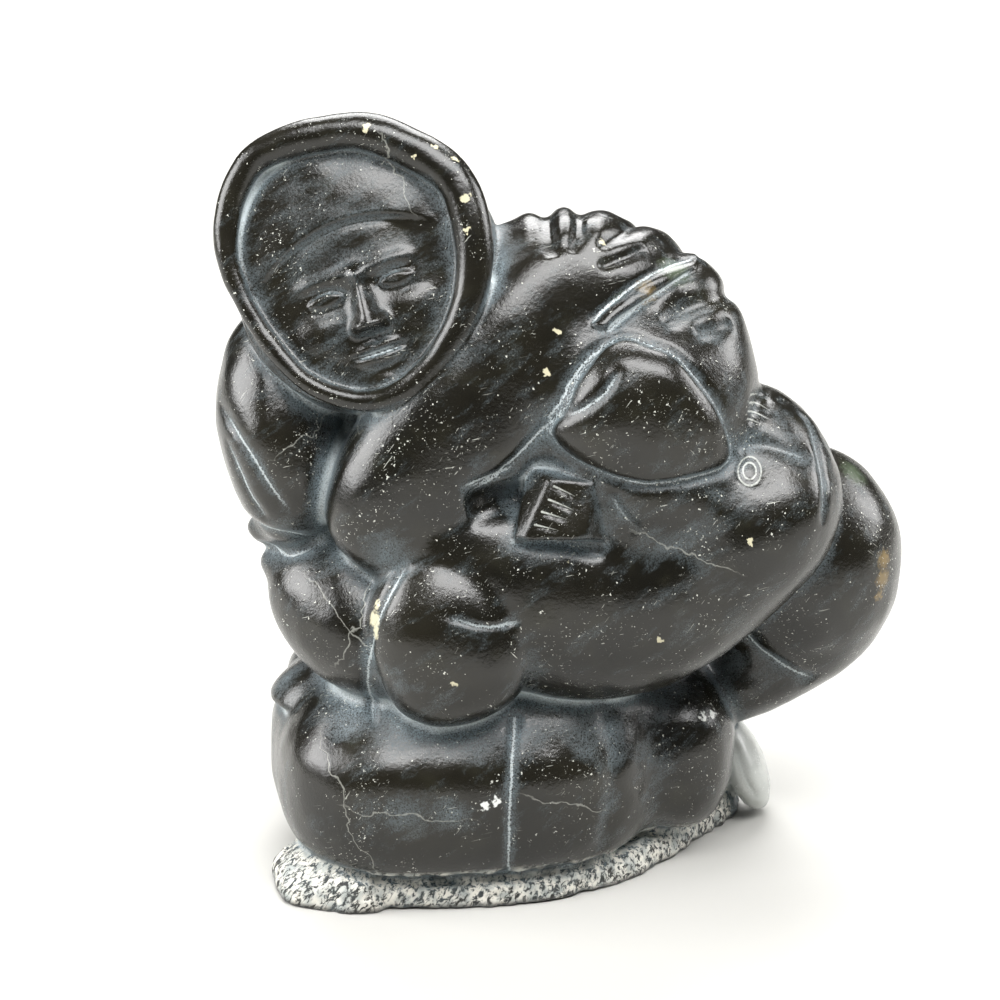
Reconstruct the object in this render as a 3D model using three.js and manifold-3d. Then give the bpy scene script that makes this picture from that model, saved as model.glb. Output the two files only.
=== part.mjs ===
// A kneeling hunter in a hooded parka with a seal across the lap, carved from one block of soapstone.
// Millimetres, +Z up, the front faces -Y. The origin is on the underside, at the centre of the whole carving.
import * as THREE from "three";
import { RoundedBoxGeometry } from "three/addons/geometries/RoundedBoxGeometry.js";
import { mergeVertices } from "three/addons/utils/BufferGeometryUtils.js";
import Module from "manifold-3d";

const wasm = await Module();
wasm.setup();

const SLAB = 8; // thickness of the base slab
const FACET = 8.5; // aimed length of a facet's edge on the rounded forms

const GROOVE_STEP = 5; // distance between the points of a groove

const BACKWARD = new THREE.Vector3(0, 1, 0);
const vec = (p) => new THREE.Vector3(...p);
const inFront = (x, z) => new THREE.Vector3(x, -200, z);

// ---- solids ---------------------------------------------------------------------------------------------

// A closed geometry as a manifold-3d solid.
function solidOf(geometry) {
  const bare = new THREE.BufferGeometry();
  bare.setAttribute("position", geometry.getAttribute("position"));
  if (geometry.index) bare.setIndex(geometry.index);
  const merged = mergeVertices(bare, 1e-4);
  return new wasm.Manifold(
    new wasm.Mesh({
      numProp: 3,
      vertProperties: merged.attributes.position.array,
      triVerts: new Uint32Array(merged.index.array),
    }),
  );
}

// A manifold-3d solid as a three.js geometry.
function geometryOf(solid) {
  const mesh = solid.getMesh();
  const geometry = new THREE.BufferGeometry();
  geometry.setAttribute("position", new THREE.BufferAttribute(mesh.vertProperties, 3));
  geometry.setIndex(new THREE.BufferAttribute(mesh.triVerts, 1));
  geometry.computeVertexNormals();
  return geometry;
}

const join = (solids) => solids.reduce((whole, next) => whole.add(next));

// An egg-shaped form from tip to tip. width is its half size across, seen from the front, and depth its half
// size front to back. taper makes the far end fuller, bend moves the middle sideways and bow moves it
// forward, boxy above 2 squares the section up, and roll turns the section about the long axis. finer asks
// for smaller facets.
function pod({ from, to, width, depth, taper = 0, bend = 0, bow = 0, boxy = 2, roll = 0, finer = 0 }) {
  const a = vec(from);
  const b = vec(to);
  const middle = a.clone().add(b).multiplyScalar(0.5);
  const half = a.distanceTo(b) / 2;
  const along = b.clone().sub(a).normalize();
  const side = along.clone().cross(new THREE.Vector3(0, 1, 0)).normalize();
  side.applyAxisAngle(along, THREE.MathUtils.degToRad(roll));
  const front = along.clone().cross(side);
  const girth = Math.sqrt((width * width + depth * depth) / 2);
  const detail = Math.max(1, Math.round((1.1 * Math.sqrt(girth * Math.max(half, girth))) / FACET) - 1);
  const geometry = new THREE.IcosahedronGeometry(1, detail + finer);
  const position = geometry.getAttribute("position");
  const v = new THREE.Vector3();
  for (let i = 0; i < position.count; i++) {
    v.fromBufferAttribute(position, i).normalize();
    const n = Math.pow(
      Math.abs(v.x) ** boxy + Math.abs(v.y) ** boxy + Math.abs(v.z) ** boxy,
      1 / boxy,
    );
    v.divideScalar(n);
    const fuller = 1 + taper * v.z;
    const offset = 1 - v.z * v.z;
    const x = v.x * width * fuller + bend * offset;
    const y = v.y * depth * fuller + bow * offset;
    const p = middle.clone().addScaledVector(side, x).addScaledVector(front, y);
    p.addScaledVector(along, v.z * half);
    position.setXYZ(i, p.x, p.y, p.z);
  }
  return solidOf(geometry);
}

// A closed ring of round section along a curve: radius(u) is its radius, for u from 0 to 1 along the curve.
function ring(curve, radius, steps, sides) {
  const geometry = new THREE.TorusGeometry(1, 0.5, sides, steps);
  const position = geometry.getAttribute("position");
  const uv = geometry.getAttribute("uv");
  const frames = curve.computeFrenetFrames(steps, true);
  for (let i = 0; i < position.count; i++) {
    const u = uv.getX(i) % 1;
    const angle = 2 * Math.PI * (uv.getY(i) % 1);
    const at = Math.round(u * steps);
    const p = curve.getPointAt(u);
    p.addScaledVector(frames.normals[at], radius(u) * Math.cos(angle));
    p.addScaledVector(frames.binormals[at], -radius(u) * Math.sin(angle));
    position.setXYZ(i, p.x, p.y, p.z);
  }
  return solidOf(geometry);
}

// A rod of square section through a row of points.
function rod(points, radius) {
  const corners = Array.from({ length: 4 }, (_, i) => (i * Math.PI) / 2);
  const section = corners.map((a) => new THREE.Vector2(radius * Math.cos(a), radius * Math.sin(a)));
  const extrudePath = new THREE.CatmullRomCurve3(points);
  return solidOf(new THREE.ExtrudeGeometry(new THREE.Shape(section), { extrudePath, steps: points.length - 1 }));
}

// ---- carving on the skin --------------------------------------------------------------------------------

// A finder of points on a solid's skin: where a straight line from a start first meets it, if it does.
function skinOf(solid) {
  const mesh = new THREE.Mesh(geometryOf(solid));
  const raycaster = new THREE.Raycaster();
  return (start, direction) => {
    raycaster.set(start, direction);
    return raycaster.intersectObject(mesh)[0]?.point;
  };
}

// Points on the skin along marks on a face of the stone. Each mark is a pair of measures, and place turns a
// pair into a start ahead of the skin.
function trace(skin, marks, place = inFront, inward = BACKWARD) {
  const drawn = new THREE.SplineCurve(marks.map(([x, y]) => new THREE.Vector2(x, y)));
  const steps = Math.max(2, Math.round(drawn.getLength() / GROOVE_STEP));
  return drawn.getSpacedPoints(steps).map((mark) => skin(place(mark.x, mark.y), inward)).filter(Boolean);
}

const groove = (skin, marks, radius) => rod(trace(skin, marks), radius);

// A notch between two folds of a sleeve: over its ridge, then down its front along the marks.
const notch = (skin, ridge, marks, radius) => rod([vec(ridge), ...trace(skin, marks)], radius);

// ---- base -----------------------------------------------------------------------------------------------

// The slab's outline from above: a point at the left, nearest the viewer, and a side cut back at the right.
function baseSlab() {
  const edge = 2.5;
  const outline = new THREE.CatmullRomCurve3(
    [
      [-69, -32], [-58, -45], [-6, -42], [20, -27], [38, -5],
      [50, 18], [38, 38], [0, 46], [-40, 40], [-62, 4],
    ].map(([x, y]) => new THREE.Vector3(x, y, 0)),
    true,
  );
  const points = outline.getPoints(32).slice(0, -1);
  const shape = new THREE.Shape(points.map((p) => new THREE.Vector2(p.x, p.y)));
  return solidOf(
    new THREE.ExtrudeGeometry(shape, {
      depth: SLAB - 2 * edge,
      bevelThickness: edge,
      bevelSize: edge,
      bevelOffset: -edge,
      bevelSegments: 2,
    }).translate(0, 0, edge),
  );
}

// ---- legs -----------------------------------------------------------------------------------------------

function legs() {
  return join([
    pod({ from: [-71, -14, 26], to: [23, 2, 25], width: 24.5, depth: 43, boxy: 2.6 }), // folded right leg
    pod({ from: [27, 0, 6], to: [29, 0, 49], width: 17.5, depth: 25, boxy: 2.5 }), // its boot's toe
    pod({ from: [62, 8, 103], to: [60, 6, 43], width: 27, depth: 27 }), // left knee
    pod({ from: [78, 4, 60], to: [30, 12, 31], width: 11.5, depth: 19 }), // left boot
    pod({ from: [43, 12, 27], to: [55, 16, 1], width: 6, depth: 12 }), // left foot
  ]);
}

// ---- parka ----------------------------------------------------------------------------------------------

function parka() {
  return join([
    pod({ from: [-73.5, 8, 44], to: [20, 12, 44], width: 14, depth: 36, boxy: 2.4 }), // skirt
    pod({ from: [-20, 10, 20], to: [-36, 6, 145], width: 36, depth: 34 }), // back and chest
    pod({ from: [-30, 6, 172], to: [-24, 2, 134], width: 13.5, depth: 22 }), // hood, behind the rim
    pod({ from: [-71, -6, 141], to: [-62, -12, 84], width: 16.5, depth: 20 }), // right shoulder
    pod({ from: [-77, 0, 85], to: [-52, -16, 87], width: 5.5, depth: 9 }), // elbow fold, upper
    pod({ from: [-74, -3, 77], to: [-52, -18, 81], width: 5.5, depth: 9 }), // elbow fold, lower
    pod({ from: [-68, -6, 79], to: [-32, -34, 61], width: 17.5, depth: 17 }), // right forearm
    pod({ from: [-50, -30, 86], to: [14, -10, 160], width: 22, depth: 20 }), // left upper arm
    pod({ from: [-22, -4, 156.5], to: [46, -14, 102], width: 19.5, depth: 18, bend: 15, boxy: 2.1 }), // left sleeve
  ]);
}

function mittens() {
  return join([
    pod({ from: [-34, -36, 88], to: [-19, -38, 49], width: 19.5, depth: 16, boxy: 2.3, finer: 1 }), // right mitten
    pod({ from: [-2, -32, 119], to: [39, -34, 125], width: 18, depth: 17, finer: 1 }), // left mitten
  ]);
}

// ---- seal -----------------------------------------------------------------------------------------------

// A short slab that lies on the seal's side: its left edge leans, and its face slopes with the side.
function flipper() {
  const slab = new RoundedBoxGeometry(15, 17, 7, 1, 1.2);
  slab.rotateY(THREE.MathUtils.degToRad(-6)).rotateZ(THREE.MathUtils.degToRad(-16));
  slab.rotateX(THREE.MathUtils.degToRad(50)).translate(0.5, -36, 100.5);
  return solidOf(slab);
}

function seal() {
  return join([
    pod({ from: [-54, -20, 102], to: [67, -16, 98], width: 28, depth: 29, bend: -24.5, boxy: 2.2 }), // body
    pod({ from: [30, -24, 79], to: [64, -24, 109], width: 18, depth: 22 }), // head
    pod({ from: [38, -14, 119], to: [61, -16, 101], width: 13, depth: 18, boxy: 2.3 }), // brow
    flipper(),
  ]);
}

// ---- head -----------------------------------------------------------------------------------------------

// The head's own frame: x to the viewer's right, y towards the crown, z out of the face.
function headFrame() {
  const lean = THREE.MathUtils.degToRad(20); // the crown leans to the viewer's left
  const out = new THREE.Vector3(-0.14, -0.93, 0.33).normalize();
  const level = new THREE.Vector3(0, 0, 1).cross(out).normalize();
  const x = level.clone().applyAxisAngle(out, lean);
  const y = out.clone().cross(x);
  return new THREE.Matrix4().makeBasis(x, y, out).setPosition(-49.5, -22, 157);
}
const HEAD = headFrame();
const inHead = (x, y, z) => new THREE.Vector3(x, y, z).applyMatrix4(HEAD);

function hoodRim() {
  const path = new THREE.CatmullRomCurve3(
    [
      [7, 30], [20.5, 22], [30, 9], [28, -10], [17, -26],
      [-1, -33.5], [-18, -24], [-26.5, -2.5], [-26.5, 15], [-15, 30],
    ].map(([x, y]) => inHead(x, y, 0)),
    true,
  );
  const radius = (u) => 3.6 + 1.3 * Math.cos(2 * Math.PI * (u - 0.12));
  return ring(path, radius, 40, 7);
}

const headPod = (from, to, sizes) =>
  pod({ from: inHead(...from).toArray(), to: inHead(...to).toArray(), ...sizes });

// The hair hangs in a fringe cut to an arch, and the face lies a step below it.
const FRINGE = { x: 1.2, y: -24, radius: 33.4, step: 1.6 };
const EYE = { apart: 18, y: -6.5, long: 9, high: 4.4 };
const NOSE = { top: -3, base: -17.5, width: 8.5 };
const MOUTH = { y: -22.4, width: 14 };
const MIDDLE = 0.8; // the face's middle line

function hair() {
  const dome = headPod([0.5, -34, -12], [0.5, 34, -12], { width: 30, depth: 13 + FRINGE.step, boxy: 2.3 });
  const below = new THREE.CylinderGeometry(FRINGE.radius, FRINGE.radius, 60, 40).rotateX(Math.PI / 2);
  return dome.subtract(solidOf(below.translate(FRINGE.x, FRINGE.y, 0).applyMatrix4(HEAD)));
}

function face() {
  const eyeX = [-1, 1].map((hand) => MIDDLE + (hand * EYE.apart) / 2);
  return join([
    headPod([0.5, -34, -12], [0.5, 34, -12], { width: 30, depth: 13, boxy: 2.3 }),
    headPod([MIDDLE, NOSE.top, -0.5], [MIDDLE, NOSE.base, 0.6], { width: NOSE.width / 2, depth: 4, taper: 0.35 }),
    headPod([MIDDLE, MOUTH.y + 4, -1], [MIDDLE, MOUTH.y - 4, -1], { width: MOUTH.width / 2, depth: 3 }),
    headPod([MIDDLE, -25, -4], [MIDDLE, -34, -4], { width: 8, depth: 5 }), // chin
    ...eyeX.map((x) =>
      headPod([x - EYE.long / 2, EYE.y, -1], [x + EYE.long / 2, EYE.y, -1], { width: 2.5, depth: EYE.high / 2 }),
    ),
  ]);
}

function head() {
  const ahead = new THREE.BoxGeometry(120, 120, 60).translate(0, 0, 30).applyMatrix4(HEAD);
  const hood = headPod([1, -36, -12], [2, 33, -12], { width: 32, depth: 26 }).subtract(solidOf(ahead));
  return join([hood, face(), hair(), hoodRim()]);
}

// Lines cut into the face: the parting of the lips and the lower edge of each brow.
function faceLines(skin) {
  const ahead = (x, y) => inHead(x, y, 60);
  const inward = new THREE.Vector3(0, 0, -1).transformDirection(HEAD);
  const line = (marks, radius) => rod(trace(skin, marks, ahead, inward), radius);
  const half = MOUTH.width / 2;
  return [
    line([[MIDDLE - half, MOUTH.y], [MIDDLE, MOUTH.y - 0.6], [MIDDLE + half, MOUTH.y]], 0.6),
    ...[-1, 1].map((hand) =>
      line([[MIDDLE + 4 * hand, -3.4], [MIDDLE + 9 * hand, -2.2], [MIDDLE + 14 * hand, -4.6]], 0.6),
    ),
  ];
}

// ---- cuts -----------------------------------------------------------------------------------------------

// Notches between the folds of the left sleeve: [x, y, z] on the ridge, then marks down the front.
const SLEEVE_NOTCHES = [
  [[-13, -2, 159], [[-12, 156], [-11, 151]]],
  [[-3.5, -2, 165], [[-3.5, 162], [-2.5, 157]]],
  [[7.5, -2, 167], [[6.5, 164], [3.5, 158]]],
  [[19, -2, 165], [[16, 162.5], [8, 157]]],
  [[29, -4, 160], [[25, 158], [12, 152]]],
  [[38, -6, 153.5], [[34, 153], [15, 144]]],
  [[46, -9, 148], [[41, 148], [23, 143]]],
  [[50, -10, 140], [[46, 140], [32, 138]]],
];

function parkaCuts(skin) {
  return [
    ...SLEEVE_NOTCHES.map(([ridge, marks]) => notch(skin, ridge, marks, 2)),
    groove(skin, [[0, 120], [3, 131], [10, 138], [21, 139], [31, 134], [37, 124]], 1), // left cuff
    groove(skin, [[0.5, 125], [6.7, 129], [11, 133], [13.5, 137]], 1.2), // left thumb
    groove(skin, [[-28.7, 79.5], [-19, 76.5], [-10.5, 76]], 1.3), // right thumb
    groove(skin, [[-81, 114], [-75, 104], [-64, 96]], 2), // fold over the right elbow
    groove(skin, [[-79, 104], [-73.5, 97], [-66, 92]], 1.5), // the fold below it
  ];
}

function legCuts(skin) {
  return [
    groove(skin, [[-10.3, 46], [-11, 28], [-12, 11]], 1.3), // seam of the trouser leg
    groove(skin, [[47, 55], [55, 50], [64, 46]], 1.2), // top of the left boot
  ];
}

// The ring cut round the seal's eye, seen from the front and a little above.
function sealEye(skin) {
  const middle = skin(inFront(45, 109.5), BACKWARD);
  const ring = new THREE.TorusGeometry(2.3, 0.7, 4, 12).rotateX(THREE.MathUtils.degToRad(60));
  return solidOf(ring.translate(middle.x, middle.y, middle.z));
}

function sealCuts(skin) {
  const claws = [0, 1, 2, 3].map((i) => {
    const x = -2.2 - 1.4 * i;
    const z = 107.4 - 2.9 * i;
    return groove(skin, [[x, z], [x + 6.5, z - 2.2]], 0.9);
  });
  const browLines = [0, 1, 2, 3].map((i) => {
    const x = 46.4 - 0.7 * i;
    const z = 121.6 - 1.3 * i;
    return groove(skin, [[x, z], [x + 6, z - 0.6]], 0.6);
  });
  return [
    ...claws,
    ...browLines,
    sealEye(skin),
    groove(skin, [[58.6, 117], [61.3, 112.3], [62.6, 105.8]], 1), // mouth
    groove(skin, [[-10, 94], [0, 93], [10, 91]], 1.4), // fold under the flipper
    groove(skin, [[10.5, 105], [14, 101], [18.5, 96.5]], 1.4), // fold beside it
    pod({ from: [-24, -38, 101], to: [-5, -36, 105], width: 3, depth: 5 }), // hollow behind it
  ];
}

// ---- the whole ------------------------------------------------------------------------------------------

const rough = join([baseSlab(), legs(), parka(), mittens(), seal(), head()]);
const skin = skinOf(rough);
const carving = [
  ...parkaCuts(skin),
  ...legCuts(skin),
  ...sealCuts(skin),
  ...faceLines(skin),
].reduce((stone, cut) => stone.subtract(cut), rough);

// The origin goes under the middle of the carving's box, on the underside.
const geometry = geometryOf(carving);
geometry.computeBoundingBox();
const middle = geometry.boundingBox.getCenter(new THREE.Vector3());

const soapstone = new THREE.MeshStandardMaterial({ color: 0x23241f, roughness: 0.3, metalness: 0 });
const hunter = new THREE.Group();
const mesh = new THREE.Mesh(geometry, soapstone);
mesh.position.set(-middle.x, -middle.y, 0);
mesh.name = "soapstone_carving";
hunter.add(mesh);

export default hunter;
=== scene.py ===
"""A hunter with a seal across the lap, carved from one block of soapstone: its finished surface, the floor,
the lights and the camera.

The stone is worked out as a signed field on a grid, in millimetres, below zero inside the stone. The rounded
forms follow the solid's within a few millimetres and are joined with soft creases, and the fine carving is
pressed into the field. The surface of the field becomes one mesh. The shapes are drawn in the carving's own
measures: x to the viewer's right, y away from the front, z up, from a point on the floor near the middle.
"""

import functools
import itertools
import math

import bmesh
import bpy
import numpy as np
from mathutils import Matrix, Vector


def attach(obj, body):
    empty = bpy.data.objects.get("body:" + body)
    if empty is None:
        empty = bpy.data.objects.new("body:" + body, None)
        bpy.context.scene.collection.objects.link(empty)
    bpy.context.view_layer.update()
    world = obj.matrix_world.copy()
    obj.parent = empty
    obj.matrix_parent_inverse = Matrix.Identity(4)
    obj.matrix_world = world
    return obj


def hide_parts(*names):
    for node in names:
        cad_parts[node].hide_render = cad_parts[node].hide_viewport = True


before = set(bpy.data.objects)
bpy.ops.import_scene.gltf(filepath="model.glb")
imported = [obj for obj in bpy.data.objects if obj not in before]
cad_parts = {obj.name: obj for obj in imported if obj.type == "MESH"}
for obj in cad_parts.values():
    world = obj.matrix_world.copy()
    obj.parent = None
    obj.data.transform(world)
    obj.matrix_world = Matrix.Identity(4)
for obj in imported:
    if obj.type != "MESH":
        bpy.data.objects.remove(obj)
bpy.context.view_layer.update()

MM = 0.001  # a millimetre in metres
CELL = 0.55  # grid step
LOW = np.array([-90.0, -60.0, -3.0])  # lowest corner of the grid
HIGH = np.array([95.0, 52.0, 196.0])  # highest corner
FAR = 12.0  # field value well outside the stone
AHEAD, ABOVE = -62.0, 194.0  # y in front of the whole stone, and z over it
SIGHT = 140.0  # longest way from there to the stone's skin
PANEL_BACK = -8.0  # raised panels lie ahead of this y
MIDDLE = (2.31, -3.31)  # middle of the carving's box, from above: the frame's origin
TRIANGLES = 190000  # most triangles that the finished mesh may have

# ---- shapes: (lowest corner, highest corner, distance function) -------------------------------------------


def unit(v):
    v = np.asarray(v, float)
    return v / np.linalg.norm(v)


def soft_min(a, b, k):
    """The lower of two fields, rounded where they meet over a width k."""
    if k <= 0:
        return np.minimum(a, b)
    h = np.maximum(k - np.abs(a - b), 0) / k
    return np.minimum(a, b) - h * h * (k / 4)


def soft_max(a, b, k):
    """The higher of two fields, rounded in the same way."""
    return -soft_min(-a, -b, k)


def pod(start, end, width, depth, taper=0, bend=0, boxy=2):
    """An egg-shaped form from tip to tip, as in the solid. width is its half size across, and depth front to
    back. taper makes the far end fuller, bend moves the middle sideways, and boxy above 2 squares it up."""
    a, b = np.array(start, float), np.array(end, float)
    middle, half, along = (a + b) / 2, np.linalg.norm(b - a) / 2, unit(b - a)
    side = unit(np.cross(along, (0, 1, 0)))
    front = np.cross(along, side)

    def distance(x, y, z):
        dx, dy, dz = x - middle[0], y - middle[1], z - middle[2]
        t = (dx * along[0] + dy * along[1] + dz * along[2]) / half
        over = 1 - t * t
        fuller = np.clip(1 + taper * t, 0.3, 2)
        px = (dx * side[0] + dy * side[1] + dz * side[2] - bend * over) / (width * fuller)
        py = (dx * front[0] + dy * front[1] + dz * front[2]) / (depth * fuller)
        if boxy == 2:
            f = np.sqrt(px * px + py * py + t * t) + 1e-4
            gx, gy, gz = px / f, py / f, t / f
        else:
            ax, ay, az = np.abs(px) + 1e-4, np.abs(py) + 1e-4, np.abs(t) + 1e-4
            f = (ax**boxy + ay**boxy + az**boxy) ** (1 / boxy)
            gx = np.sign(px) * (ax / f) ** (boxy - 1)
            gy = np.sign(py) * (ay / f) ** (boxy - 1)
            gz = np.sign(t) * (az / f) ** (boxy - 1)
        gx, gy = gx / width, gy / depth
        gz = (gz + 2 * t * (bend * gx)) / half
        return (f - 1) / np.sqrt(gx * gx + gy * gy + gz * gz)

    turns = np.linspace(0, 2 * math.pi, 24)
    spans = np.linspace(-1, 1, 15)[:, None]
    girth = (1 - np.abs(spans) ** boxy) ** (1 / boxy)
    reach = (np.abs(np.cos(turns)) ** boxy + np.abs(np.sin(turns)) ** boxy) ** (-1 / boxy) * girth
    fuller = 1 + taper * spans
    sx = reach * np.cos(turns) * width * fuller + bend * (1 - spans**2)
    sy = reach * np.sin(turns) * depth * fuller
    shell = middle + sx[..., None] * side + sy[..., None] * front + (spans * half)[..., None] * along
    shell = shell.reshape(-1, 3)
    return shell.min(0), shell.max(0), distance


def blend(k, *shapes):
    """Several shapes as one, with soft creases of width k between them."""

    def distance(x, y, z):
        return functools.reduce(lambda a, b: soft_min(a, b, k), [shape[2](x, y, z) for shape in shapes])

    return np.min([s[0] for s in shapes], 0), np.max([s[1] for s in shapes], 0), distance


def spline(points, step=1.0, closed=False):
    """Points about a step apart on a smooth curve through the given points."""
    p = np.array(points, float)
    if len(p) == 2 and not closed:
        n = max(2, int(np.linalg.norm(p[1] - p[0]) / step) + 1)
        return p[0] + (p[1] - p[0]) * np.linspace(0, 1, n)[:, None]
    if closed:
        p = np.vstack([p[-1], p, p[0], p[1]])
    else:
        p = np.vstack([2 * p[0] - p[1], p, 2 * p[-1] - p[-2]])
    out = []
    for a, b, c, d in zip(p, p[1:], p[2:], p[3:]):
        n = max(2, int(np.linalg.norm(c - b) / step) + 1)
        t = np.linspace(0, 1, n, endpoint=False)[:, None]
        square, cube = 2 * a - 5 * b + 4 * c - d, 3 * b - a - 3 * c + d
        out.append(0.5 * (2 * b + (c - a) * t + square * t**2 + cube * t**3))
    if not closed:
        out.append(p[-2:-1])
    return np.vstack(out)


def near_path(path, x, y, z, sizes):
    """Distance to the nearest of a path's segments, less the size there, and the share of the way along."""
    best = np.full(np.broadcast(x, y, z).shape, 1e3, np.float32)
    where = np.zeros_like(best)
    count = len(path) - 1
    for i, (a, b) in enumerate(zip(path, path[1:])):
        d = b - a
        px, py, pz = x - a[0], y - a[1], z - a[2]
        t = np.clip((px * d[0] + py * d[1] + pz * d[2]) / max(d @ d, 1e-9), 0, 1)
        gap = np.sqrt((px - t * d[0]) ** 2 + (py - t * d[1]) ** 2 + (pz - t * d[2]) ** 2)
        gap = gap - (sizes[i] + (sizes[i + 1] - sizes[i]) * t)
        closer = gap < best
        best = np.where(closer, gap, best)
        where = np.where(closer, (i + t) / count, where)
    return best, where


def facets(low, high, planes, worn=0.7):
    """What lies behind all of some planes, each a point and the way it faces, with slightly worn edges."""

    def distance(x, y, z):
        gaps = []
        for point, normal in planes:
            n = unit(normal)
            gaps.append((x - point[0]) * n[0] + (y - point[1]) * n[1] + (z - point[2]) * n[2])
        return functools.reduce(lambda a, b: soft_max(a, b, worn), gaps)

    return np.array(low, float), np.array(high, float), distance


def ring(path, sizes):
    """A rod of round section along a path, with its radius at each point."""
    reach = max(sizes)

    def distance(x, y, z):
        return near_path(path, x, y, z, sizes)[0]

    return path.min(0) - reach, path.max(0) + reach, distance


# ---- the grid ---------------------------------------------------------------------------------------------

COUNT = np.ceil((HIGH - LOW) / CELL).astype(int) + 1
AXES = [(LOW[i] + CELL * np.arange(COUNT[i])).astype(np.float32) for i in range(3)]
field = np.full(COUNT, FAR, np.float32)


def window(low, high, margin):
    """The grid's slices between two corners, and the coordinates in them."""
    a = np.clip(np.floor((np.asarray(low) - margin - LOW) / CELL).astype(int), 0, COUNT - 1)
    b = np.clip(np.ceil((np.asarray(high) + margin - LOW) / CELL).astype(int) + 1, 1, COUNT)
    cut = tuple(slice(i, j) for i, j in zip(a, b))
    return cut, AXES[0][cut[0], None, None], AXES[1][None, cut[1], None], AXES[2][None, None, cut[2]]


def add(shape, k=1.5):
    """Joins a shape to the stone, with a soft crease of width k."""
    cut, x, y, z = window(shape[0], shape[1], 5)
    field[cut] = soft_min(field[cut], np.minimum(shape[2](x, y, z), FAR), k)


def sample(grid, points):
    """The grid's values at points, between its corners."""
    q = np.clip((points - LOW) / CELL, 0, np.array(grid.shape) - 1.001)
    i = q.astype(np.int32)
    f = (q - i).astype(np.float32)
    total = np.zeros(len(points), np.float32)
    for dx, dy, dz in itertools.product((0, 1), repeat=3):
        share = (f[:, 0] if dx else 1 - f[:, 0]) * (f[:, 1] if dy else 1 - f[:, 1])
        share = share * (f[:, 2] if dz else 1 - f[:, 2])
        total += share * grid[i[:, 0] + dx, i[:, 1] + dy, i[:, 2] + dz]
    return total


def skin(start, inward):
    """Where straight lines from starts first meet the stone."""
    steps = np.arange(0, SIGHT, CELL * 0.7)
    points = start[:, None, :] + steps[None, :, None] * np.asarray(inward, float)
    values = sample(field, points.reshape(-1, 3)).reshape(len(start), len(steps))
    first = np.maximum(np.argmax(values < 0, axis=1), 1)
    row = np.arange(len(start))
    v0, v1 = values[row, first - 1], values[row, first]
    t = steps[first - 1] + (steps[first] - steps[first - 1]) * np.clip(v0 / (v0 - v1 + 1e-6), 0, 1)
    return start + t[:, None] * np.asarray(inward, float)


def on_front(marks):
    """Marks [x, z], joined by a smooth line, on the skin that faces the front."""
    line = spline(marks)
    start = np.stack([line[:, 0], np.full(len(line), AHEAD), line[:, 1]], 1)
    return skin(start, (0, 1, 0))


def on_top(marks):
    """Marks [x, y], joined by a smooth line, on the skin that faces up."""
    line = spline(marks)
    start = np.stack([line[:, 0], line[:, 1], np.full(len(line), ABOVE)], 1)
    return skin(start, (0, 0, -1))


carved = []  # the lines that dust settles in: the path, how it fades towards its ends, and how full it is


def press(path, width, depth, ends=0.25, soft=False, dust=1.0):
    """Presses a crease into the stone, or raises one where depth is below zero. ends is the share of its
    length that fades out at either end, soft rounds its edges, and dust is how much settles in it, 0 to 1."""
    reach = width * (2.2 if soft else 3.5)
    cut, x, y, z = window(path.min(0), path.max(0), reach)
    gap, where = near_path(path, x, y, z, np.zeros(len(path)))
    fade = np.clip(np.minimum(where, 1 - where) / max(ends, 1e-3), 0, 1)
    shape = np.exp(-((gap / width) ** 2)) if soft else np.exp(-gap / width) - math.exp(-reach / width)
    if dust and not soft:
        carved.append((path, ends, dust))
    field[cut] += depth * np.maximum(shape, 0) * (fade * (2 - fade) if ends else 1)


def raise_panel(outline, height, edge):
    """Lifts the part of the front inside an outline [x, z], rounding it up over the width of an edge."""
    line = spline(outline, 1.0, closed=True)
    low = (line[:, 0].min(), AHEAD, line[:, 1].min())
    high = (line[:, 0].max(), PANEL_BACK, line[:, 1].max())
    cut, x, y, z = window(low, high, 0)
    inner = np.clip(-inside_gap(line, x[:, 0, :], z[:, 0, :]) / edge, 0, 1)[:, None, :]
    field[cut] -= height * (1 - (1 - inner) ** 2)


def random_lattice(points, size, seed):
    """Smooth random values from -1 to 1, with lumps of about the given size."""
    count, shift = 48, 11.5
    values = np.random.default_rng(seed).uniform(-1, 1, (count, count, count)).astype(np.float32)
    q = points / size + shift
    i = np.floor(q).astype(np.int32)
    f = (q - i).astype(np.float32)
    f = f * f * (3 - 2 * f)
    total = np.zeros(len(points), np.float32)
    for corner in itertools.product((0, 1), repeat=3):
        share = np.ones(len(points), np.float32)
        for axis in range(3):
            share = share * (f[:, axis] if corner[axis] else 1 - f[:, axis])
        j = (i + corner) % count
        total += share * values[j[:, 0], j[:, 1], j[:, 2]]
    return total


# ---- the head ---------------------------------------------------------------------------------------------

LEAN = math.radians(20)  # the crown leans to the viewer's left
OUT = unit((-0.14, -0.93, 0.33))  # the way the face looks
LEVEL = unit(np.cross((0, 0, 1), OUT))
ACROSS = LEVEL * math.cos(LEAN) + np.cross(OUT, LEVEL) * math.sin(LEAN)
CROWN = np.cross(OUT, ACROSS)
HEAD = np.array([-49.5, -22.0, 157.0])  # the middle of the face


def in_head(x, y, z):
    """Head measures, x to the right, y to the crown and z out of the face, as carving measures."""
    return HEAD + np.multiply.outer(x, ACROSS) + np.multiply.outer(y, CROWN) + np.multiply.outer(z, OUT)


def head_measures(x, y, z):
    """The other way round: carving measures as head measures."""
    dx, dy, dz = x - HEAD[0], y - HEAD[1], z - HEAD[2]
    return [dx * v[0] + dy * v[1] + dz * v[2] for v in (ACROSS, CROWN, OUT)]


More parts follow.
